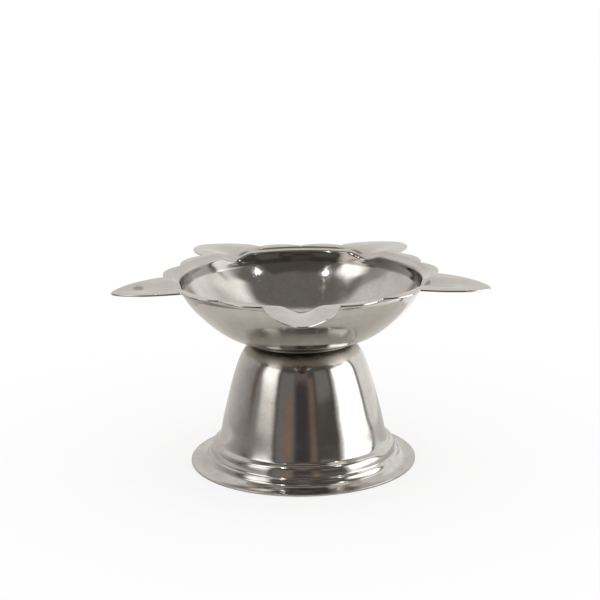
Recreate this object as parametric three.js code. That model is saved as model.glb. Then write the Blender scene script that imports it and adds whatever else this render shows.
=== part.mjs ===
import * as THREE from 'three';

// Five-pointed oil lamp on a bell-shaped stand, in pressed stainless steel sheet.
// Lengths are millimetres, +Z is up, and the front petal points to -Y.

// Star dish, measured from the underside of its foot
const dishSheet = 0.4;
const dishHeight = 15.7;
const footRadius = 12.7;
const footFlare = 0.5;
const footStep = 0.5;
const mouthRadius = 28.1;
const wallLean = 0.77;
const wallHeight = 2.13;
const lipBend = 0.9;
const flangeRise = 0.6;
const flangeWidth = 1.2;
const lobeSwell = 1.9;

// Petals of the star
const petalNotchStep = 1.3;
const petalLength = 13.3;
const petalHalfWidth = 8.25;
const frontPetalDroop = 0.75;
const sidePetalDroop = 0.65;
const backPetalDroop = 1;
const channelDepth = 1.2;
const frontChannelDepth = 1.7;
const channelHalfWidth = 5;

// Bell stand, measured from the table up
const standSheet = 0.5;
const standHeight = 29;
const seatRadius = 10.8;
const shoulderWidth = 2.65;
const shoulderHeight = 2;
const bodyFlare = 6.45;
const beadWidth = 1.9;
const beadHeight = 2.4;
const skirtWidth = 1.6;
const skirtHeight = 2;
const rimWidth = 3.2;
const rimLift = 0.5;
const restWidth = 1.5;

// Weld nuggets between the foot and the seat
const weldCount = 3;
const weldRadius = 1.25;
const weldHeight = 0.3;
const weldCircleShare = 0.6;

// Fineness of the round and curved forms
const petalSteps = 5;
const lobeSteps = 5;
const flangeSteps = 4;
const bendSteps = 3;
const standSides = 64;
const weldSides = 16;

// Directions of the petals from the front one round to the right, as shares of a full turn
const petalTurnShares = [0, 0.2, 0.406, 0.594, 0.8];

// Handles of a petal's curved side, as shares of its length and of its half width
const petalTipShare = 0.23;
const petalSideShares = [0.6, 0.92];

// Points along a curve, as shares of its width and of its height
const footShares = [[0.5, 0.16], [0.77, 0.56], [1, 1]];
const bowlShares = [
  [0.121, 0.056], [0.241, 0.101], [0.378, 0.195], [0.524, 0.329],
  [0.644, 0.465], [0.79, 0.645], [0.914, 0.822], [1, 1],
];
const wallShares = [[0.54, 0.46], [0.85, 0.75], [1, 1]];
const shoulderShares = [[0, 0], [0.34, 0.285], [0.679, 0.575], [0.868, 0.775], [1, 1]];
const bodyShares = [
  [0.113, 0.046], [0.225, 0.116], [0.357, 0.231], [0.499, 0.37],
  [0.653, 0.556], [0.814, 0.741], [0.891, 0.88], [1, 1],
];
const beadShares = [[0.15, 0.07], [0.48, 0.15], [0.8, 0.36], [0.92, 0.65], [1, 1]];
const skirtShares = [[0.05, 0.2], [0.32, 0.3], [0.45, 0.48], [0.64, 0.76], [1, 1]];

const steel = new THREE.MeshStandardMaterial({ color: 0xb9b4ad, roughness: 0.22, metalness: 1 });
const weldSteel = new THREE.MeshStandardMaterial({ color: 0x8f8b86, roughness: 0.5, metalness: 1 });

const petalDroops = [
  frontPetalDroop, sidePetalDroop, backPetalDroop, backPetalDroop, sidePetalDroop,
];
const lobeNotchRadius = mouthRadius + lipBend + flangeWidth;
const petalNotchRadius = lobeNotchRadius + petalNotchStep;
const petalNotchAngle = Math.asin(petalHalfWidth / petalNotchRadius);
const petalReach = petalNotchRadius + petalLength;

// Points from one corner to the opposite one, along a table of shares
function alongShares(start, end, shares) {
  return shares.map(([across, up]) => new THREE.Vector2(
    THREE.MathUtils.lerp(start.x, end.x, across),
    THREE.MathUtils.lerp(start.y, end.y, up),
  ));
}

function polar(radius, angle) {
  return new THREE.Vector2(radius * Math.cos(angle), radius * Math.sin(angle));
}

// Half a petal's edge, from its tip to the notch beside it
function petalEdge() {
  const tip = new THREE.Vector2(petalReach, 0);
  const tipHandle = new THREE.Vector2(petalReach, petalTipShare * petalHalfWidth);
  const [lengthShare, widthShare] = petalSideShares;
  const side = new THREE.Vector2(petalNotchRadius + lengthShare * petalLength, widthShare * petalHalfWidth);
  const notch = polar(petalNotchRadius, petalNotchAngle);
  return new THREE.CubicBezierCurve(tip, tipHandle, side, notch).getPoints(petalSteps);
}

// One round lobe of the scalloped edge, from the petal's notch to the notch between two lobes
function lobeEdge(halfGap) {
  const start = polar(petalNotchRadius, petalNotchAngle);
  const end = polar(lobeNotchRadius, halfGap);
  const chord = end.clone().sub(start);
  const radius = (chord.lengthSq() / 4 + lobeSwell ** 2) / (2 * lobeSwell);
  const outward = new THREE.Vector2(chord.y, -chord.x).normalize();
  const centre = start.clone().add(end).multiplyScalar(0.5).addScaledVector(outward, lobeSwell - radius);
  const from = start.sub(centre).angle();
  const to = end.sub(centre).angle();
  return new THREE.EllipseCurve(centre.x, centre.y, radius, radius, from, to).getPoints(lobeSteps);
}

// Half the turn from a petal to the one after it
function halfGapAfter(petal) {
  const next = petalTurnShares[petal + 1] ?? 1;
  return (next - petalTurnShares[petal]) * Math.PI;
}

// A petal's outline on one side, out to the notch halfway to the next petal
function halfOutline(halfGap) {
  return [...petalEdge(), ...lobeEdge(halfGap).slice(1)];
}

// The dish outline as columns round the axis: direction, offset from its petal and edge radius
function outlineColumns() {
  const columns = [];
  petalTurnShares.forEach((share, petal) => {
    const middle = share * 2 * Math.PI - Math.PI / 2;
    const last = (petal || petalTurnShares.length) - 1;
    const before = halfOutline(halfGapAfter(last)).slice(1, -1).reverse();
    const mirrored = before.map((point) => new THREE.Vector2(point.x, -point.y));
    for (const point of [...mirrored, ...halfOutline(halfGapAfter(petal))]) {
      const offset = Math.atan2(point.y, point.x);
      columns.push({ petal, offset, angle: middle + offset, edge: point.length() });
    }
  });
  return columns;
}

// The middle of the dish sheet from the foot to the lip bend, as one turned profile
function bowlProfile() {
  const halfSheet = dishSheet / 2;
  const lipTop = dishHeight - halfSheet - flangeRise;
  const floorEdge = new THREE.Vector2(footRadius, halfSheet);
  const footTop = new THREE.Vector2(footRadius + footFlare, halfSheet + footStep);
  const wallTop = new THREE.Vector2(mouthRadius, lipTop - lipBend);
  const crease = new THREE.Vector2(mouthRadius - wallLean, wallTop.y - wallHeight);
  const bend = new THREE.EllipseCurve(
    mouthRadius + lipBend, wallTop.y, lipBend, lipBend, Math.PI, Math.PI / 2, true,
  );
  return [
    floorEdge,
    ...alongShares(floorEdge, footTop, footShares),
    ...alongShares(footTop, crease, bowlShares),
    ...alongShares(crease, wallTop, wallShares),
    ...bend.getPoints(bendSteps).slice(1),
  ];
}

// Height of the flange at a radius, before any channel is pressed in
function flangeHeight(radius, column) {
  const lipEnd = mouthRadius + lipBend;
  const rise = THREE.MathUtils.clamp((radius - lipEnd) / (lobeNotchRadius - lipEnd), 0, 1);
  let height = dishHeight - dishSheet / 2 - flangeRise * (1 - rise);
  const outward = (radius - petalNotchRadius) / petalLength;
  if (Math.abs(column.offset) < petalNotchAngle && outward > 0) {
    height -= petalDroops[column.petal] * outward ** 1.5;
  }
  return height;
}

// Depth of the wick channel, deepest where it crosses the lip and gone at the petal tip
function channelDrop(radius, column) {
  const across = radius * Math.sin(column.offset) / channelHalfWidth;
  if (Math.abs(across) >= 1) {
    return 0;
  }
  const depth = column.petal === 0 ? frontChannelDepth : channelDepth;
  const fade = THREE.MathUtils.clamp((petalReach - radius) / (petalReach - mouthRadius), 0, 1);
  return depth * fade ** 1.5 * Math.cos(across * Math.PI / 2) ** 2;
}

function pointAt(radius, height, column) {
  const { x, y } = polar(radius, column.angle);
  return new THREE.Vector3(x, y, height);
}

// Rings of points on the middle of the dish sheet, from the foot out to the cut edge
function dishRings(columns) {
  const profile = bowlProfile();
  const lipEnd = profile.at(-1);
  const creaseHeight = lipEnd.y - lipBend - wallHeight;
  const rings = profile.map(({ x, y }) => columns.map((column) => {
    const share = THREE.MathUtils.clamp((y - creaseHeight) / (lipEnd.y - creaseHeight), 0, 1);
    return pointAt(x, y - share * channelDrop(x, column), column);
  }));
  for (let step = 1; step <= flangeSteps; step += 1) {
    rings.push(columns.map((column) => {
      const radius = THREE.MathUtils.lerp(lipEnd.x, column.edge, step / flangeSteps);
      const height = flangeHeight(radius, column) - channelDrop(radius, column);
      return pointAt(radius, height, column);
    }));
  }
  return rings;
}

// Upward direction of the sheet at one point of the rings
function sheetNormal(rings, ring, column) {
  const count = rings[ring].length;
  const inner = rings[Math.max(ring - 1, 0)][column];
  const outer = rings[Math.min(ring + 1, rings.length - 1)][column];
  const next = rings[ring][(column + 1) % count];
  const last = rings[ring][(column + count - 1) % count];
  const outward = outer.clone().sub(inner);
  return outward.cross(next.clone().sub(last)).normalize();
}

// Both faces of the sheet, half its thickness either side of the rings
function sheetFaces(rings) {
  const up = new THREE.Vector3(0, 0, 1);
  const face = (side) => rings.map((ring, index) => ring.map((point, column) => {
    const normal = index === 0 ? up : sheetNormal(rings, index, column);
    return point.clone().addScaledVector(normal, side * dishSheet / 2);
  }));
  return { top: face(1), under: face(-1) };
}

// Closed body from the rings of the upper face, the lower face and the cut edge between them
function dishGeometry() {
  const { top, under } = sheetFaces(dishRings(outlineColumns()));
  const rings = [...top, ...under.reverse()];
  const count = rings[0].length;
  const points = rings.flat();
  const topCentre = points.push(new THREE.Vector3(0, 0, dishSheet)) - 1;
  const underCentre = points.push(new THREE.Vector3(0, 0, 0)) - 1;
  const faces = [];
  for (let column = 0; column < count; column += 1) {
    const next = (column + 1) % count;
    faces.push(topCentre, column, next);
    for (let ring = 0; ring < rings.length - 1; ring += 1) {
      const inner = ring * count;
      const outer = inner + count;
      faces.push(inner + column, outer + column, outer + next);
      faces.push(inner + column, outer + next, inner + next);
    }
    const last = (rings.length - 1) * count;
    faces.push(underCentre, last + next, last + column);
  }
  const geometry = new THREE.BufferGeometry().setFromPoints(points);
  geometry.setIndex(faces);
  geometry.computeVertexNormals();
  return geometry;
}

// Outer profile of the stand, from the centre of its seat down to its rim
function standProfile() {
  const seatEdge = new THREE.Vector2(seatRadius, standHeight);
  const shoulder = new THREE.Vector2(seatRadius + shoulderWidth, standHeight - shoulderHeight);
  const rimRoot = new THREE.Vector2(
    shoulder.x + bodyFlare + beadWidth + skirtWidth,
    standSheet + rimLift,
  );
  const beadFoot = new THREE.Vector2(rimRoot.x - skirtWidth, rimRoot.y + skirtHeight);
  const bodyFoot = new THREE.Vector2(shoulder.x + bodyFlare, beadFoot.y + beadHeight);
  const rim = new THREE.Vector2(rimRoot.x + rimWidth, standSheet);
  return [
    new THREE.Vector2(0, standHeight),
    ...alongShares(seatEdge, shoulder, shoulderShares),
    ...alongShares(shoulder, bodyFoot, bodyShares),
    ...alongShares(bodyFoot, beadFoot, beadShares),
    ...alongShares(beadFoot, rimRoot, skirtShares),
    new THREE.Vector2(rim.x - restWidth, rim.y),
    rim,
  ];
}

// The profile moved inward by the sheet thickness, each straight run kept parallel
function innerProfile(profile, thickness) {
  const normals = profile.slice(1).map((point, index) => {
    const run = point.clone().sub(profile[index]).normalize();
    return new THREE.Vector2(run.y, -run.x);
  });
  return profile.map((point, index) => {
    const before = normals[Math.max(index - 1, 0)];
    const after = normals[Math.min(index, normals.length - 1)];
    const both = before.clone().add(after);
    return point.clone().addScaledVector(both, thickness / (1 + before.dot(after)));
  });
}

function standGeometry() {
  const outer = standProfile();
  const inner = innerProfile(outer, standSheet).reverse();
  const geometry = new THREE.LatheGeometry([...outer, ...inner].reverse(), standSides);
  return geometry.rotateX(Math.PI / 2);
}

function weldGeometry() {
  const geometry = new THREE.CylinderGeometry(weldRadius, weldRadius, weldHeight, weldSides);
  return geometry.rotateX(Math.PI / 2);
}

function namedMesh(name, geometry, material) {
  const mesh = new THREE.Mesh(geometry, material);
  mesh.name = name;
  return mesh;
}

const lamp = new THREE.Group();
lamp.add(namedMesh('bell_stand', standGeometry(), steel.clone()));

const dish = namedMesh('star_dish', dishGeometry(), steel.clone());
dish.position.z = standHeight + weldHeight;
lamp.add(dish);

const weldCircleRadius = weldCircleShare * seatRadius;
for (let index = 0; index < weldCount; index += 1) {
  const angle = index * 2 * Math.PI / weldCount - Math.PI / 2;
  const weld = namedMesh(`weld_nugget_${index + 1}`, weldGeometry(), weldSteel.clone());
  weld.position.set(
    weldCircleRadius * Math.cos(angle),
    weldCircleRadius * Math.sin(angle),
    standHeight + weldHeight / 2,
  );
  lamp.add(weld);
}

// The origin is under the middle of the star's width and depth, on the table
const middle = new THREE.Box3().setFromObject(lamp).getCenter(new THREE.Vector3());
lamp.position.y = -middle.y;

export default lamp;
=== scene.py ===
# %% [markdown]
# # A star-rimmed oil lamp in pressed steel
# The real lamp is two thin sheets of stainless steel. One is pressed into a shallow
# bowl whose rim runs out into five petals, and the other is spun into a bell that
# stands under it. The joint is out of sight, so three small welds stand for it.
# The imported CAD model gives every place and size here. Its facets would show in
# polished metal, so each sheet is made again, much finer, in the same space.

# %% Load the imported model
import math

import bpy
import numpy as np
from mathutils import Matrix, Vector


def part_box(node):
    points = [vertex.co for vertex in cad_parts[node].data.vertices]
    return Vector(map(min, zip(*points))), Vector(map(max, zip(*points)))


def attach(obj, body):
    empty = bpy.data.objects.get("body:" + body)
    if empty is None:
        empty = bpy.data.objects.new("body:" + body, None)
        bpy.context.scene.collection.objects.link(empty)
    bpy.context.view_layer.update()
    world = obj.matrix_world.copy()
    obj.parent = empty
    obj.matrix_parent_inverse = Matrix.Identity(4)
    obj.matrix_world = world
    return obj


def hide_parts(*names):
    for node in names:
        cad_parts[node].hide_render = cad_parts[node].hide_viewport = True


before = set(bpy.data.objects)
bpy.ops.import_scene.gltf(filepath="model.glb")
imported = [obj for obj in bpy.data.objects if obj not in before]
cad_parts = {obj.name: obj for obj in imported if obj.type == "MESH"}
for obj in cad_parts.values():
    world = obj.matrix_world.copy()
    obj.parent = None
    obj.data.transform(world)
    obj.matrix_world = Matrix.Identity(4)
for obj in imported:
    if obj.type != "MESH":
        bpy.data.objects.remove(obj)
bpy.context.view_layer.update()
mm = 0.001
stand_low, stand_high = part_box("bell_stand")
axis_y = (stand_low.y + stand_high.y) / 2
print("turned axis at y =", round(axis_y / mm, 3), "mm")

# %% [markdown]
# ## Smooth lines from a few points
# A profile is the line that a spinning or pressing tool leaves in the sheet. It is
# given by a handful of points. A B-spline pulls a smooth curve along them, as a
# thin sheet bends: it never kinks, and a point written twice makes a tighter bend.
# Interpolating the points exactly would add small waves, and polish shows every one.

# %% Draw a smooth line along points
def smooth_line(points, steps):
    points = np.asarray(points, float)
    held = np.vstack([2 * points[0] - points[1], points, 2 * points[-1] - points[-2]])
    share = np.linspace(0, 1, steps, endpoint=False)[:, None]
    parts = []
    for a, b, c, d in zip(held, held[1:], held[2:], held[3:]):
        parts.append((
            a * (1 - share) ** 3
            + b * (3 * share ** 3 - 6 * share ** 2 + 4)
            + c * (-3 * share ** 3 + 3 * share ** 2 + 3 * share + 1)
            + d * share ** 3
        ) / 6)
    return np.vstack([*parts, points[-1:]])


def along_shares(start, end, shares):
    start, end = np.array(start), np.array(end)
    return [start + (end - start) * np.array(share) for share in shares]


trial_line = smooth_line([(0, 0), (1, 0), (1, 1)], 4)
print("points on a line through three points:", len(trial_line))

# %% [markdown]
# ## The star outline of the dish
# The blank is stamped with five pointed petals and two round lobes between each
# pair. It could be drawn as one curve object, but a grid is easier to press: each
# column of the grid is one direction from the middle, and the outline only says
# where that column ends. A petal's side is one Bezier curve and a lobe is an arc.
# The shares of a full turn set the petals round the axis, and the two at the back
# stand a little closer together than the others.

# %% Set the widths of the star
petal_turn_shares = [0, 0.2, 0.406, 0.594, 0.8]
mouth_radius = 28.1 * mm
lip_bend = 0.9 * mm
flange_width = 1.2 * mm
petal_notch_step = 1.3 * mm
petal_length = 13.3 * mm
petal_half_width = 8.25 * mm
tip_roundness = 0.23
belly_reach = 0.6
belly_fullness = 0.92
lobe_swell = 1.9 * mm
lip_end = mouth_radius + lip_bend
lobe_notch = lip_end + flange_width
petal_notch = lobe_notch + petal_notch_step
petal_reach = petal_notch + petal_length
notch_turn = math.asin(petal_half_width / petal_notch)
print("petal tips at", round(petal_reach / mm, 2), "mm from the axis")

# %% Trace half a petal and one lobe
petal_columns = 30
lobe_columns = 22


def polar(radius, turn):
    return np.array([radius * math.cos(turn), radius * math.sin(turn)])


def petal_side():
    tip = np.array([petal_reach, 0])
    tip_handle = np.array([petal_reach, tip_roundness * petal_half_width])
    belly = np.array([petal_notch + belly_reach * petal_length,
                      belly_fullness * petal_half_width])
    notch = polar(petal_notch, notch_turn)
    t = np.linspace(0, 1, petal_columns + 1)[:, None]
    return (tip * (1 - t) ** 3 + 3 * tip_handle * t * (1 - t) ** 2
            + 3 * belly * t ** 2 * (1 - t) + notch * t ** 3)


def lobe_arc(half_gap):
    start, end = polar(petal_notch, notch_turn), polar(lobe_notch, half_gap)
    chord = end - start
    radius = (chord @ chord / 4 + lobe_swell ** 2) / (2 * lobe_swell)
    outward = np.array([chord[1], -chord[0]]) / math.hypot(*chord)
    centre = (start + end) / 2 + outward * (lobe_swell - radius)
    first, last = (math.atan2(*(p - centre)[::-1]) for p in (start, end))
    return np.array([centre + polar(radius, turn)
                     for turn in np.linspace(first, last, lobe_columns + 1)])


def half_star(half_gap):
    return np.vstack([petal_side(), lobe_arc(half_gap)[1:]])


print("columns in half a petal:", len(half_star(math.pi / 5)))

# %% Set the petals round the axis
half_gaps = np.diff(np.array([*petal_turn_shares, 1])) * math.pi
outline = []
for petal, share in enumerate(petal_turn_shares):
    before = half_star(half_gaps[petal - 1])[1:-1][::-1] * (1, -1)
    for x, y in np.vstack([before, half_star(half_gaps[petal])]):
        offset_turn = math.atan2(y, x)
        middle_turn = 2 * math.pi * share - math.pi / 2
        outline.append((petal, offset_turn, middle_turn + offset_turn, math.hypot(x, y)))
petal_number, offset, column_turn, edge_radius = np.array(outline).T
petal_number = petal_number.astype(int)
print("columns round the dish:", len(column_turn))

# %% [markdown]
# ## Pressing the bowl
# The bowl is drawn down from the flat flange: a flat foot, a deep curved belly, a
# short wall that leans out a little, and a rolled lip. A lathe would give the bowl
# but not the petals, so the profile is sampled ring by ring instead, and every
# ring then gets a point in each of the star's columns.

# %% Draw the bowl's profile at the middle of its sheet
dish_sheet = 0.4 * mm
dish_height = 15.7 * mm
foot_radius = 12.7 * mm
foot_bend = 0.8 * mm
foot_flare = 0.5 * mm
foot_step = 0.5 * mm
wall_lean = 0.77 * mm
wall_height = 2.13 * mm
flange_rise = 0.6 * mm
foot_shares = [[0.5, 0.16], [0.77, 0.56], [1, 1]]
belly_shares = [
    [0.121, 0.056], [0.241, 0.101], [0.378, 0.195], [0.524, 0.329],
    [0.644, 0.465], [0.79, 0.645], [0.914, 0.822], [1, 1],
]
wall_shares = [[0.54, 0.46], [0.85, 0.75], [1, 1]]
lip_shares = [[0.134, 0.5], [0.5, 0.866], [1, 1]]

lip_top = dish_height - dish_sheet / 2 - flange_rise
floor_edge = np.array([foot_radius, dish_sheet / 2])
foot_top = floor_edge + (foot_flare, foot_step)
wall_top = np.array([mouth_radius, lip_top - lip_bend])
crease = wall_top - (wall_lean, wall_height)
bowl_points = [
    (foot_radius - foot_bend, dish_sheet / 2), floor_edge,
    *along_shares(floor_edge, foot_top, foot_shares),
    *along_shares(foot_top, crease, belly_shares), crease,
    *along_shares(crease, wall_top, wall_shares),
    *along_shares(wall_top, (lip_end, lip_top), lip_shares),
]
bowl_line = smooth_line(bowl_points, steps=4)
print("rings in the bowl:", len(bowl_line))

# %% [markdown]
# ## Flange, petals and wick channels
# Past the lip the sheet runs out flat, and each petal droops a little towards its
# tip. A channel is pressed along the middle of each petal, deepest at the lip,
# so that a wick can lie in it. All of this is height alone, so it is written as
# height over radius and direction, which keeps the outline untouched.

# %% Press the channels
channel_half_width = 5 * mm
petal_droops = np.array([0.75, 0.65, 1.0, 1.0, 0.65]) * mm
channel_depths = np.array([1.7, 1.2, 1.2, 1.2, 1.2]) * mm
channel_fade = 1.5
droop_bend = 1.5


def eased(share):
    share = np.clip(share, 0, 1)
    return share * share * (3 - 2 * share)


def channel_drop(radius):
    across = np.clip(radius * np.sin(offset) / channel_half_width, -1, 1)
    fade = np.clip((petal_reach - radius) / (petal_reach - mouth_radius), 0, 1)
    depth = channel_depths[petal_number]
    return depth * fade ** channel_fade * np.cos(across * math.pi / 2) ** 2


def flange_height(radius):
    rise = eased((radius - lip_end) / flange_width)
    outward = np.clip((radius - petal_notch) / petal_length, 0, 1)
    outward = np.where(np.abs(offset) < notch_turn, outward, 0)
    droop = petal_droops[petal_number] * outward ** droop_bend
    return lip_top + flange_rise * rise - droop


print("deepest channel:", round(channel_drop(mouth_radius).max() / mm, 2), "mm")

# %% Lay the rings of the whole dish
first_ring = 0.4 * mm
floor_rings = 10
flange_rings = 22
edge_round = 0.12 * mm
edge_margin = 2.5 * edge_round
dish_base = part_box("star_dish")[0].z


def ring(radius, height):
    radius = np.broadcast_to(radius, column_turn.shape)
    height = np.broadcast_to(height, column_turn.shape)
    return np.stack([radius * np.cos(column_turn), radius * np.sin(column_turn) + axis_y,
                     height + dish_base], axis=1)


def dish_rings():
    rings = [ring(radius, dish_sheet / 2) for radius in
             np.linspace(first_ring, bowl_line[0, 0], floor_rings, endpoint=False)]
    for radius, height in bowl_line:
        deepening = eased((height - crease[1]) / (lip_top - crease[1]))
        rings.append(ring(radius, height - deepening * channel_drop(radius)))
    reach = edge_radius - edge_margin
    for share in np.linspace(0, 1, flange_rings)[1:]:
        radius = lip_end + (reach - lip_end) * share
        rings.append(ring(radius, flange_height(radius) - channel_drop(radius)))
    rings.append(ring(edge_radius - edge_round,
                      flange_height(edge_radius) - channel_drop(edge_radius)))
    return np.array(rings)


dish_middle = dish_rings()
print("rings in the dish:", len(dish_middle))

# %% [markdown]
# ## Giving the sheet its thickness
# A Solidify modifier could thicken the grid, but it would leave a square edge. The
# sheared edge of a real blank is slightly rounded, and that thin line of light is
# what says steel sheet. So both faces are offset along the grid's own normals, and
# a small arc joins them round the edge.

# %% Offset both faces and round the edge
edge_steps = [60, 30, 0]


def unit(vectors):
    return vectors / np.linalg.norm(vectors, axis=-1, keepdims=True)


def grid_directions(grid):
    along = np.gradient(grid, axis=0)
    around = np.roll(grid, -1, axis=1) - np.roll(grid, 1, axis=1)
    up = unit(np.cross(along, around))
    return up, unit(np.cross(around, up))


def thick_rings(grid, thickness, rounding):
    up, out = grid_directions(grid)
    flat = thickness / 2 - rounding
    edge = []
    for turn in np.radians(edge_steps):
        edge.append(grid[-1] + up[-1] * (flat + rounding * math.sin(turn))
                    + out[-1] * rounding * math.cos(turn))
    below = []
    for turn in np.radians(edge_steps[::-1]):
        below.append(grid[-1] - up[-1] * (flat + rounding * math.sin(turn))
                     + out[-1] * rounding * math.cos(turn))
    top = grid + up * thickness / 2
    under = (grid - up * thickness / 2)[::-1]
    return np.concatenate([top, edge, below, under])


def closed_mesh(name, rings):
    turns, count = rings.shape[:2]
    corners = rings.reshape(-1, 3)
    poles = np.array([rings[0].mean(0), rings[-1].mean(0)])
    here = np.arange(count)
    after = np.roll(here, -1)
    faces = []
    for inner in range(turns - 1):
        a, b = inner * count, (inner + 1) * count
        faces += np.stack([here + a, here + b, after + b, after + a], axis=1).tolist()
    first_pole, last_pole = len(corners), len(corners) + 1
    last = (turns - 1) * count
    faces += [[first_pole, int(i), int(j)] for i, j in zip(here, after)]
    faces += [[last_pole, int(j) + last, int(i) + last] for i, j in zip(here, after)]
    mesh = bpy.data.meshes.new(name)
    mesh.from_pydata(np.vstack([corners, poles]).tolist(), [], faces)
    mesh.shade_smooth()
    piece = bpy.data.objects.new(name, mesh)
    bpy.context.scene.collection.objects.link(piece)
    print(name, "has", len(faces), "faces")
    return piece


dish = closed_mesh("pressed_star_bowl", thick_rings(dish_middle, dish_sheet, edge_round))
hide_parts("star_dish")

# %% [markdown]
# ## Spinning the bell
# The stand is a deep bell with a flat seat, a rounded shoulder, a long curved body,
# a rolled bead and a flat rim. It is turned round one axis, so its profile is all
# there is to draw. The inside is the same line moved in by the sheet's thickness,
# because the bell is hollow underneath.

# %% Draw the bell's profile
bell_sheet = 0.5 * mm
stand_height = 29 * mm
seat_first_ring = 1 * mm
seat_radius = 10.8 * mm
seat_bend = 1 * mm
shoulder_width = 2.65 * mm
shoulder_height = 2 * mm
body_flare = 6.45 * mm
bead_width = 1.9 * mm
bead_height = 2.4 * mm
skirt_width = 1.6 * mm
skirt_height = 2 * mm
rim_width = 3.2 * mm
rim_lift = 0.5 * mm
rest_width = 1.5 * mm
shoulder_shares = [[0, 0], [0.34, 0.285], [0.679, 0.575], [0.868, 0.775], [1, 1]]
body_shares = [
    [0.113, 0.046], [0.225, 0.116], [0.357, 0.231], [0.499, 0.37],
    [0.653, 0.556], [0.814, 0.741], [0.891, 0.88], [1, 1],
]
bead_shares = [[0.15, 0.07], [0.48, 0.15], [0.8, 0.36], [0.92, 0.65], [1, 1]]
skirt_shares = [[0.05, 0.2], [0.32, 0.3], [0.45, 0.48], [0.64, 0.76], [1, 1]]

seat_edge = np.array([seat_radius, stand_height])
shoulder = seat_edge + (shoulder_width, -shoulder_height)
rim_root = np.array([shoulder[0] + body_flare + bead_width + skirt_width,
                     bell_sheet + rim_lift])
bead_foot = rim_root + (-skirt_width, skirt_height)
body_foot = bead_foot + (-bead_width, bead_height)
rim = np.array([rim_root[0] + rim_width, bell_sheet])
bell_points = np.array([
    (seat_first_ring, stand_height), (seat_radius - seat_bend, stand_height),
    *along_shares(seat_edge, shoulder, shoulder_shares),
    *along_shares(shoulder, body_foot, body_shares),
    *along_shares(body_foot, bead_foot, bead_shares),
    *along_shares(bead_foot, rim_root, skirt_shares),
    rim - (rest_width, 0), rim - (edge_round, 0),
])
print("points in the bell's profile:", len(bell_points))

# %% Move the line in by the sheet's thickness
def moved_in(points, thickness):
    runs = unit(np.diff(points, axis=0))
    sides = np.stack([runs[:, 1], -runs[:, 0]], axis=1)
    before = np.vstack([sides[:1], sides])
    after = np.vstack([sides, sides[-1:]])
    fit = 1 + np.sum(before * after, axis=1, keepdims=True)
    return points + (before + after) * thickness / fit


outer_line = smooth_line(bell_points, steps=5)
inner_line = smooth_line(moved_in(bell_points, bell_sheet), steps=5)
edge_turns = np.radians([*edge_steps, *(-step for step in edge_steps[::-1])])
edge_lifts = np.array([1, 1, 1, -1, -1, -1]) * (bell_sheet / 2 - edge_round)
edge_line = np.stack([rim[0] - edge_round + edge_round * np.cos(edge_turns),
                      bell_sheet / 2 + edge_lifts + edge_round * np.sin(edge_turns)], axis=1)
bell_line = np.vstack([outer_line, edge_line, inner_line[::-1]])
print("rings in the bell:", len(bell_line))

# %% Turn it round the axis
bell_columns = 256
bell_turns = np.linspace(0, 2 * math.pi, bell_columns, endpoint=False)
bell_rings = np.stack([
    np.outer(bell_line[:, 0], np.cos(bell_turns)),
    np.outer(bell_line[:, 0], np.sin(bell_turns)) + axis_y,
    np.repeat(bell_line[:, 1:], bell_columns, axis=1),
], axis=2)
bell = closed_mesh("spun_bell_stand", bell_rings)
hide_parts("bell_stand")

# %% [markdown]
# ## The welds between bowl and bell
# A spot weld leaves a small fused cake of steel between two sheets, thick in the
# middle and drawn in at its waist. A turned profile with a pinched waist shows
# that. The gap is 0.3 mm, so only the dark shadow between the parts ever shows it.

# %% Turn the weld spots
weld_rows = 9
weld_sides = 32
weld_pinch = 0.12


def weld_spot(number):
    name = f"weld_nugget_{number}"
    low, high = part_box(name)
    middle = (low + high) / 2
    radius, height = (high.x - low.x) / 2, high.z - low.z
    levels = np.linspace(1, -1, weld_rows)
    waist = radius * (1 - weld_pinch * (1 - levels ** 2))
    turns = np.linspace(0, 2 * math.pi, weld_sides, endpoint=False)
    rows = [np.stack([middle.x + r * np.cos(turns), middle.y + r * np.sin(turns),
                      np.full(weld_sides, middle.z + level * height / 2)], axis=1)
            for r, level in zip(waist, levels)]
    spot = closed_mesh(f"fused_weld_spot_{number}", np.array(rows))
    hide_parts(name)
    return spot


welds = [weld_spot(number) for number in (1, 2, 3)]

# %% [markdown]
# ## Steel that has been handled
# Polished steel is never one grey. Fine spinning lines run round it, fingers leave
# a soft film that blurs the reflection in patches, and short scratches cross it. In
# nodes, a few noises at the size of each mark drive the colour, the roughness and
# a very small bump. An image of scratches would do the same but could not be reused.

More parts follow.
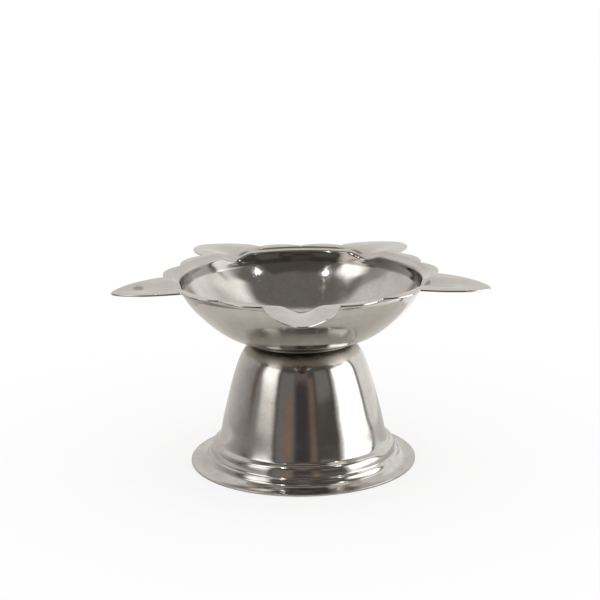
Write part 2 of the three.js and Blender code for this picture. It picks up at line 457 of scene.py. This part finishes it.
# %% Helpers for a material's nodes
class Nodes:
    def __init__(self, name):
        self.material = bpy.data.materials.new(name)
        self.material.use_nodes = True
        self.tree = self.material.node_tree
        self.shader = self.tree.nodes["Principled BSDF"]

    def add(self, kind, inputs=(), **settings):
        node = self.tree.nodes.new(kind)
        for key, value in settings.items():
            setattr(node, key, value)
        for key, value in dict(inputs).items():
            self.put(value, node.inputs[key])
        return node

    def put(self, value, socket):
        if isinstance(value, bpy.types.NodeSocket):
            self.tree.links.new(value, socket)
        else:
            socket.default_value = value

    def math(self, operation, *values):
        node = self.add("ShaderNodeMath", enumerate(values), operation=operation)
        return node.outputs[0]

    def noise(self, place, scale, detail=2.0, roughness=0.5):
        node = self.add("ShaderNodeTexNoise", {
            "Vector": place, "Scale": scale, "Detail": detail, "Roughness": roughness})
        return node.outputs["Fac"]

    def spread(self, value, low, high, to_low=0.0, to_high=1.0):
        node = self.add("ShaderNodeMapRange", {
            "Value": value, "From Min": low, "From Max": high,
            "To Min": to_low, "To Max": to_high}, interpolation_type="SMOOTHSTEP")
        return node.outputs["Result"]

    def mix(self, share, first, second):
        node = self.add("ShaderNodeMix", data_type="RGBA")
        self.put(share, node.inputs[0])
        self.put(first, node.inputs[6])
        self.put(second, node.inputs[7])
        return node.outputs[2]

    def sum(self, *values):
        total = values[0]
        for value in values[1:]:
            total = self.math("ADD", total, value)
        return total

    def times(self, first, second):
        return self.math("MULTIPLY", first, second)


# %% Measure places on the steel
def steel_places(steel):
    place = steel.add("ShaderNodeTexCoord").outputs["Object"]
    place = steel.add("ShaderNodeVectorMath", {0: place, 1: (0, axis_y, 0)},
                      operation="SUBTRACT").outputs[0]
    across, deep, high = steel.add("ShaderNodeSeparateXYZ", {"Vector": place}).outputs
    radius = steel.math("SQRT", steel.sum(steel.times(across, across), steel.times(deep, deep)))
    facing = steel.add("ShaderNodeNewGeometry").outputs["True Normal"]
    up = steel.add("ShaderNodeSeparateXYZ", {"Vector": facing}).outputs["Z"]
    around = steel.add("ShaderNodeCombineXYZ", {
        "X": steel.times(deep, -1.0), "Y": across, "Z": 0.0}).outputs[0]
    return {"place": place, "radius": radius, "high": high, "up": up, "around": around}


# %% [markdown]
# ## The marks on the steel
# Seven noises are enough. The film is the soft cloud that fingers and oil leave, the
# smears are its finer streaks, and the haze is a dull patchiness that is finer still.
# The grain is the tooth that the polish leaves. Spinning lines are very fine and run
# round the axis, so they are a noise over radius and height alone. Scratches are the
# rare bright hairs where a stretched noise peaks. The wave is the slight unevenness
# of the sheet itself, which bends every reflection a little.

# %% Draw the scratches
hair_stretch = (1.0, 14.0, 14.0)
hair_layers = [((0.3, 0.2, 0.7), 300.0), ((0.2, 0.9, -0.8), 340.0)]


def scratches(steel, place):
    hairs = []
    for turn, scale in hair_layers:
        stretched = steel.add("ShaderNodeMapping", {
            "Vector": place, "Rotation": turn, "Scale": hair_stretch}).outputs[0]
        hairs.append(steel.noise(stretched, scale, detail=3.0, roughness=0.7))
    return steel.spread(steel.math("MAXIMUM", *hairs), low=0.68, high=0.78)


print("directions of scratches:", len(hair_layers))

# %% Draw the other marks
def steel_marks(steel, on):
    place = on["place"]
    level = steel.add("ShaderNodeCombineXYZ", {
        "X": on["radius"], "Y": on["high"], "Z": 0.0}).outputs[0]
    film = steel.noise(place, scale=110.0, detail=5.0, roughness=0.62)
    haze = steel.noise(place, scale=420.0, detail=8.0, roughness=0.8)
    return {
        "film": steel.spread(film, low=0.36, high=0.66),
        "smear": steel.noise(place, scale=520.0, detail=6.0, roughness=0.7),
        "haze": steel.spread(haze, low=0.42, high=0.68),
        "grain": steel.noise(place, scale=1500.0, detail=5.0, roughness=0.75),
        "spin": steel.noise(level, scale=1800.0, detail=6.0, roughness=0.75),
        "scratch": scratches(steel, place),
        "wave": steel.noise(place, scale=110.0, detail=2.0, roughness=0.5),
    }


# %% [markdown]
# ## Painted shade and dirt
# The gap at the joint between the bowl and the bell is painted near black as painted
# shade, and a painted brown shade spreads from it over the shoulder. The wall inside
# the bowl, just under its lip, is darkened with painted shade, and the oil leaves the
# whole inside a touch duller. Two small dark brown spots lie on the petals. All of
# these are masks over places on the piece itself, so they stay where they are from
# every side.

# %% Mask the dark spots on the petals
# Each one: its place across and deep, then its half width and half depth, in mm.
petal_spot_places = [((-36.8, -10.4), (1.5, 2.2)), ((28.8, -8.0), (0.9, 1.9))]
petal_spot_raggedness = 1.6


def dark_petal_spots(steel, on, marks):
    pressed = 0.0
    flat = steel.spread(on["up"], 0.3, 0.6)
    ragged = steel.times(marks["smear"], petal_spot_raggedness)
    for (x, y), (width, depth) in petal_spot_places:
        off = steel.add("ShaderNodeMapping", {
            "Vector": on["place"],
            "Location": (-x / width, -y / depth, 0.0),
            "Scale": (1 / (width * mm), 1 / (depth * mm), 0.0)}).outputs[0]
        reach = steel.add("ShaderNodeVectorMath", {0: off}, operation="LENGTH").outputs["Value"]
        ragged_reach = steel.sum(reach, ragged, -petal_spot_raggedness / 2)
        pressed = steel.sum(pressed, steel.times(steel.spread(ragged_reach, 1.0, 0.5), flat))
    return pressed


print("thumb marks:", len(petal_spot_places))

# %% Mask the painted shade at the joint, shoulder and wall, and the oily inside
# Each fade: where a mask starts and where it is full, in mm from the place it follows.
joint_height = dish_base
ragged_height = 1.2 * mm
foot_fade = (0.25, 0.1)
# The painted shade in the joint's gap fades out by 1.5 mm below the joint.
joint_shade_fade = (-1.5, -0.9)
# The painted brown shade on the shoulder fades out by 3.3 mm below the joint.
shoulder_shade_fade = (-3.3, -2.0)
oil_fade = (0.0, -0.6)
# The painted shade on the wall lies in a band just inside the mouth of the bowl.
wall_shade_low_fade = (-1.0, -0.7)
wall_shade_high_fade = (0.2, -0.2)


def fade_at(steel, value, place, fade):
    start, full = fade
    return steel.spread(value, place + start * mm, place + full * mm)


# The joint, shoulder and wall masks place painted shade; the inside mask only dulls the
# roughness.
def shade_and_dirt_places(steel, on, marks):
    ragged = steel.times(steel.math("SUBTRACT", marks["smear"], 0.5), ragged_height)
    edge = steel.sum(on["high"], ragged)
    below = fade_at(steel, on["high"], joint_height, foot_fade)
    joint = steel.times(fade_at(steel, edge, joint_height, joint_shade_fade), below)
    shoulder = steel.times(fade_at(steel, edge, joint_height, shoulder_shade_fade), below)
    faces_up = steel.spread(on["up"], 0.0, 0.1)
    inside = steel.times(fade_at(steel, on["radius"], mouth_radius, oil_fade), faces_up)
    wall_shade_band = steel.times(fade_at(steel, on["radius"], mouth_radius, wall_shade_low_fade),
                            fade_at(steel, on["radius"], mouth_radius, wall_shade_high_fade))
    return {"joint": joint, "shoulder": shoulder, "inside": inside,
            "wall_shade": steel.times(wall_shade_band, faces_up),
            "petal_spots": dark_petal_spots(steel, on, marks)}


print("height of the joint:", round(joint_height / mm, 2), "mm")

# %% [markdown]
# ## One recipe for every sheet of steel
# Polish leaves finer lines round the axis than along it, so a lamp's reflection is
# drawn out into a streak across them. The shader's anisotropy does that, with a
# tangent that runs round the axis. Each piece mixes the same marks in its own
# amounts: the bell is near a mirror, and the bowl is more of a satin whose streaks
# are longer.

# %% Colour the steel under its marks
# Each layer: the mask of where it lies, how strongly it covers, and its colour.
hair_bright = (0.8, 0.79, 0.77)
groove_dark = (0.4, 0.38, 0.35)
# Painted shade for the wall under the lip.
wall_painted_shade = (0.2, 0.18, 0.16)
# Painted brown shade for the shoulder under the bowl.
shoulder_painted_shade = (0.42, 0.37, 0.3)
# Painted near-black shade for the gap at the joint.
joint_painted_shade = (0.1, 0.09, 0.08)
petal_spot_brown = (0.2, 0.16, 0.13)


def steel_colour(steel, marks, shade_and_dirt, bright, dull, spin_share):
    lines = steel.times(steel.spread(marks["spin"], 0.5, 0.7), spin_share)
    colour = steel.mix(marks["film"], (*bright, 1), (*dull, 1))
    # The layers for the wall under the lip, the shoulder and the joint are painted shade.
    layers = [
        (marks["scratch"], 0.3, hair_bright), (lines, 0.3, groove_dark),
        (marks["haze"], 0.3, groove_dark), (shade_and_dirt["wall_shade"], 0.75, wall_painted_shade),
        (shade_and_dirt["shoulder"], 0.6, shoulder_painted_shade), (shade_and_dirt["joint"], 0.85, joint_painted_shade),
        (shade_and_dirt["petal_spots"], 0.75, petal_spot_brown),
    ]
    for mask, share, tint in layers:
        colour = steel.mix(steel.times(mask, share), colour, (*tint, 1))
    return colour


# %% Blur the steel under its marks
sharpest = 0.03


def steel_roughness(steel, marks, shade_and_dirt, smooth, rough):
    blurs = [
        (marks["film"], rough - smooth), (steel.math("SUBTRACT", marks["smear"], 0.5), 0.12),
        (marks["scratch"], 0.08), (shade_and_dirt["inside"], 0.02),
        (shade_and_dirt["shoulder"], 0.4), (shade_and_dirt["petal_spots"], 0.2),
    ]
    blur = steel.sum(smooth, *(steel.times(mask, share) for mask, share in blurs))
    return steel.math("MAXIMUM", blur, sharpest)


# %% Raise the marks by a hair
wave_height = 0.05 * mm
mark_height = 0.014 * mm


def steel_normal(steel, marks, spin_share):
    heights = [("spin", spin_share), ("grain", 0.5), ("smear", 0.8), ("scratch", -0.4)]
    fine = steel.sum(*(steel.times(marks[mark], height) for mark, height in heights))
    waves = steel.add("ShaderNodeBump", {
        "Height": marks["wave"], "Strength": 1.0, "Distance": wave_height})
    fine_bump = steel.add("ShaderNodeBump", {
        "Height": fine, "Strength": 0.5, "Distance": mark_height,
        "Normal": waves.outputs["Normal"]})
    return fine_bump.outputs["Normal"]


# %% Mix the steel for one piece
def handled_steel(name, bright, dull, smooth, rough, spin_share, stretch):
    steel = Nodes(name)
    on = steel_places(steel)
    marks = steel_marks(steel, on)
    shade_and_dirt = shade_and_dirt_places(steel, on, marks)
    inputs = steel.shader.inputs
    steel.put(steel_colour(steel, marks, shade_and_dirt, bright, dull, spin_share), inputs["Base Color"])
    steel.put(steel_roughness(steel, marks, shade_and_dirt, smooth, rough), inputs["Roughness"])
    steel.put(steel_normal(steel, marks, spin_share), inputs["Normal"])
    inputs["Metallic"].default_value = 1.0
    inputs["Anisotropic"].default_value = stretch
    inputs["Anisotropic Rotation"].default_value = 0.25
    steel.put(on["around"], inputs["Tangent"])
    return steel


# %% Dress every piece
dish_steel = handled_steel(
    "satin_bowl_steel", bright=(0.61, 0.585, 0.555), dull=(0.55, 0.52, 0.485),
    smooth=0.045, rough=0.13, spin_share=0.4, stretch=0.9)
bell_steel = handled_steel(
    "mirror_bell_steel", bright=(0.59, 0.575, 0.555), dull=(0.53, 0.51, 0.48),
    smooth=0.05, rough=0.13, spin_share=0.8, stretch=0.65)
weld_steel = handled_steel(
    "fused_weld_steel", bright=(0.22, 0.2, 0.18), dull=(0.12, 0.11, 0.1),
    smooth=0.4, rough=0.6, spin_share=0.2, stretch=0.65)
for piece, steel in [(dish, dish_steel), (bell, bell_steel),
                     *((weld, weld_steel) for weld in welds)]:
    piece.data.materials.append(steel.material)
    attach(piece, "root")
    print(piece.name, "in", steel.material.name)

# %% [markdown]
# ## The table and the white room
# The lamp stands on a plain white table in a white room, and the room alone lights
# it, evenly. The table is painted a warm white, a little below full white, so that
# the light that it throws up into the steel is soft. Only the camera sees it lifted
# to full white, and the lamp's shadow stays on it.

# %% Lay the table
def stage_sheet(name, points, faces, material):
    mesh = bpy.data.meshes.new(name)
    mesh.from_pydata(points, [], faces)
    mesh.shade_smooth()
    sheet = bpy.data.objects.new(name, mesh)
    bpy.context.scene.collection.objects.link(sheet)
    sheet.data.materials.append(material)
    return sheet


warm_white = (0.8, 0.77, 0.73, 1)
full_white = (1, 1, 1, 1)
shadow_share = 0.28
table_half = 6.0
white_table = Nodes("white_table")
white_table.shader.inputs["Roughness"].default_value = 0.9
white_table.shader.inputs["Specular IOR Level"].default_value = 0.0
seen_by_camera = white_table.add("ShaderNodeLightPath").outputs["Is Camera Ray"]
white_table.put(white_table.mix(seen_by_camera, warm_white, full_white),
                white_table.shader.inputs["Base Color"])
lift = white_table.add("ShaderNodeEmission", {"Color": full_white, "Strength": 1.0})
lifted = white_table.add("ShaderNodeMixShader", {
    0: white_table.times(seen_by_camera, 1.0 - shadow_share),
    1: white_table.shader.outputs[0], 2: lift.outputs[0]})
white_table.put(lifted.outputs[0], white_table.tree.nodes["Material Output"].inputs["Surface"])
table_corners = [(x * table_half, y * table_half, 0)
                 for x, y in [(-1, -1), (1, -1), (1, 1), (-1, 1)]]
stage_sheet("table", table_corners, [(0, 1, 2, 3)], white_table.material)
print("table of", 2 * table_half, "m")

# %% Paint the room
world = bpy.data.worlds.new("white_room")
bpy.context.scene.world = world
world.use_nodes = True
background = world.node_tree.nodes["Background"]
background.inputs["Color"].default_value = full_white
background.inputs["Strength"].default_value = 1.0
print("the room is", world.name)

# %% [markdown]
# ## What the steel sees
# Polished steel shows the room and not itself, so its look is made of what stands
# round it: soft boxes on both sides, two small lamps, grey walls, a dark ceiling and
# the dark, brownish studio behind the camera. Separate cards could stand for these,
# but their hard edges would cut the steel into strips. They are painted on one dome
# instead, one after the other, each with an edge as soft as the real thing has.
# The dome shows only in reflections: the camera looks through it, and it lights
# nothing.

# %% List the things round the lamp
# Each one: where it starts and ends in degrees round to the right from the camera's
# side, its lowest and highest degrees up, how soft its edges are, and its light.
warm_wall = (0.83, 0.81, 0.785)
dark_ceiling = (0.195, 0.185, 0.172)
walls = [
    ("wall_left", (-165, -60), (-30, 28), 24, (0.74, 0.71, 0.68)),
    ("grey_wall_left", (-110, -48), (-30, 30), 60, (0.31, 0.295, 0.285)),
    ("grey_wall_left_high", (-111, -48), (28, 75), 9, (0.42, 0.41, 0.395)),
    ("dark_corner_right", (50, 96), (41, 80), 8, (0.22, 0.21, 0.198)),
]
things = [
    ("dark_studio", (-42, 51), (-30, 66), 7, (0.1, 0.093, 0.086)),
    ("grey_panel_left", (-38, -13), (-30, 32), 8, (0.22, 0.21, 0.2)),
    ("dim_wall_behind", (-12, 10), (20, 40), 6, (0.17, 0.15, 0.13)),
    ("black_gap", (-9, 7), (-30, 21), 7, (0.07, 0.06, 0.066)),
    ("brown_frame_left", (-26, -16), (-30, 13), 6, (0.3, 0.2, 0.15)),
    ("brown_frame_right", (10, 18), (-30, 24), 5, (0.24, 0.165, 0.125)),
    ("grey_panel_right", (22, 46), (11, 34), 6, (0.23, 0.225, 0.22)),
    ("brown_edge_left", (-88, -79), (2, 36), 6, (0.2, 0.165, 0.135)),
    ("soft_box_left_low", (-68, -46), (3, 30), 11, (1.15, 1.11, 1.05)),
    ("soft_box_left", (-72, -45), (14, 37), 11, (1.8, 1.77, 1.71)),
    ("soft_box_left_top", (-88, -56), (41, 62), 7, (2.1, 2.08, 2.04)),
    ("soft_box_right", (56, 100), (-11, 31), 7, (2.5, 2.5, 2.5)),
    ("soft_box_right_top", (97, 125), (29, 58), 10, (1.4, 1.38, 1.35)),
    ("bright_wall_right", (107, 158), (-30, 36), 8, (1.08, 1.07, 1.05)),
    ("gap_beside_box", (101, 106), (-30, 44), 3, (0.3, 0.29, 0.27)),
]
print("walls and things round the lamp:", len(walls) + len(things))

# %% List the small lamps
# Each one: degrees round, degrees up, the half width of its spot in degrees, and its
# light. A faint glow lies round each lamp's bright spot.
small_lamps = [
    ("glow_right", 64, 55, 5.5, (1.1, 1.13, 1.25)),
    ("glow_left", -45, 65, 6, (0.9, 0.93, 1.02)),
    ("lamp_right", 64, 55, 1.5, (45, 45, 45)),
    ("lamp_left", -45, 65, 1.9, (45, 45, 45)),
]
print("lamps and glows:", len(small_lamps))

# %% Find directions on the dome
def toward(turn, rise):
    turn, rise = math.radians(turn), math.radians(rise)
    return (math.cos(rise) * math.sin(turn), -math.cos(rise) * math.cos(turn), math.sin(rise))


def nearness(dome, level, turn, rise):
    """The cosine of the angle between each place and one direction."""
    return dome.add("ShaderNodeVectorMath", {0: level, 1: toward(turn, rise)},
                    operation="DOT_PRODUCT").outputs["Value"]


def band(dome, value, low, high, soft):
    """One inside a range of degrees, nought outside it, with soft edges."""
    rise = dome.spread(value, low - soft / 2, low + soft / 2)
    fall = dome.spread(value, high - soft / 2, high + soft / 2, 1.0, 0.0)
    return dome.times(rise, fall)


def dome_directions(dome):
    place = dome.add("ShaderNodeTexCoord").outputs["Object"]
    level = dome.add("ShaderNodeVectorMath", {0: place}, operation="NORMALIZE").outputs[0]
    across, deep, high = dome.add("ShaderNodeSeparateXYZ", {"Vector": level}).outputs
    turn = dome.times(dome.math("ARCTAN2", across, dome.times(deep, -1.0)), 180 / math.pi)
    rise = dome.times(dome.math("ARCSINE", high), 180 / math.pi)
    return level, turn, rise


print("the camera's side is", [round(part, 3) for part in toward(0, 0)])

# %% Paint the things on the dome
most_softness_up = 12
ceiling_middle = (0, 60)
ceiling_fade = (0.58, 0.7)


def paint(dome, colour, painted, turn, rise):
    for name, turns, rises, soft, light in painted:
        share = dome.times(band(dome, turn, *turns, soft),
                           band(dome, rise, *rises, min(soft, most_softness_up)))
        colour = dome.mix(share, colour, (*light, 1))
    return colour


def dome_light():
    dome = Nodes("things_round_the_lamp")
    dome.tree.nodes.remove(dome.shader)
    level, turn, rise = dome_directions(dome)
    colour = paint(dome, (*warm_wall, 1), walls, turn, rise)
    overhead = nearness(dome, level, *ceiling_middle)
    colour = dome.mix(dome.spread(overhead, *ceiling_fade), colour, (*dark_ceiling, 1))
    colour = paint(dome, colour, things, turn, rise)
    for name, turn_to, rise_to, width, light in small_lamps:
        near = nearness(dome, level, turn_to, rise_to)
        edge = math.cos(math.radians(width))
        colour = dome.mix(dome.spread(near, edge, 1), colour, (*light, 1))
    emission = dome.add("ShaderNodeEmission", {"Color": colour, "Strength": 1.0})
    dome.put(emission.outputs[0], dome.tree.nodes["Material Output"].inputs["Surface"])
    print("nodes on the dome:", len(dome.tree.nodes))
    return dome.material


# %% Build the dome
# Its rings: degrees up and reach in metres. It narrows below to stay off the table.
dome_base = 0.02
dome_reach = 0.3
dome_sides = 96
dome_rings = [(-14, 0.08), (-11, 0.1), (-8, 0.13), (-4, 0.2), (0, 0.27),
              *((rise, dome_reach) for rise in (8, 20, 32, 44, 56, 68, 80, 89.9))]
dome_turns = np.linspace(0, 2 * math.pi, dome_sides, endpoint=False)
dome_points = [tuple(reach * part for part in toward(math.degrees(turn), rise))
               for rise, reach in dome_rings for turn in dome_turns]
dome_faces = [(row * dome_sides + i, row * dome_sides + (i + 1) % dome_sides,
               (row + 1) * dome_sides + (i + 1) % dome_sides, (row + 1) * dome_sides + i)
              for row in range(len(dome_rings) - 1) for i in range(dome_sides)]
dome = stage_sheet("dome_of_light", dome_points, dome_faces, dome_light())
dome.location = (0, axis_y, dome_base)
dome.visible_camera = False
dome.visible_shadow = False
dome.visible_diffuse = False
print("dome with", len(dome_faces), "faces")

# %% [markdown]
# ## The camera
# The camera's height, distance and lens were found by fitting the lamp's rim, foot
# and petal tips to the view that is wanted. It looks down by about fourteen
# degrees and leans by nearly one degree, as a hand-held camera does.

# %% Set the camera
camera_place = (-0.264 * mm, -383.454 * mm + axis_y, 136.295 * mm)
camera_pitch = 0.2494
camera_roll = 0.0145
camera_data = bpy.data.cameras.new("camera")
camera_data.sensor_width = 36
camera_data.lens = 101.893
camera = bpy.data.objects.new("camera", camera_data)
bpy.context.scene.collection.objects.link(camera)
camera.matrix_world = (Matrix.Translation(camera_place)
                       @ Matrix.Rotation(math.pi / 2 - camera_pitch, 4, "X")
                       @ Matrix.Rotation(-camera_roll, 4, "Z"))
bpy.context.scene.camera = camera
bpy.context.scene.view_settings.view_transform = "Standard"
print("camera at", [round(v, 4) for v in camera_place])
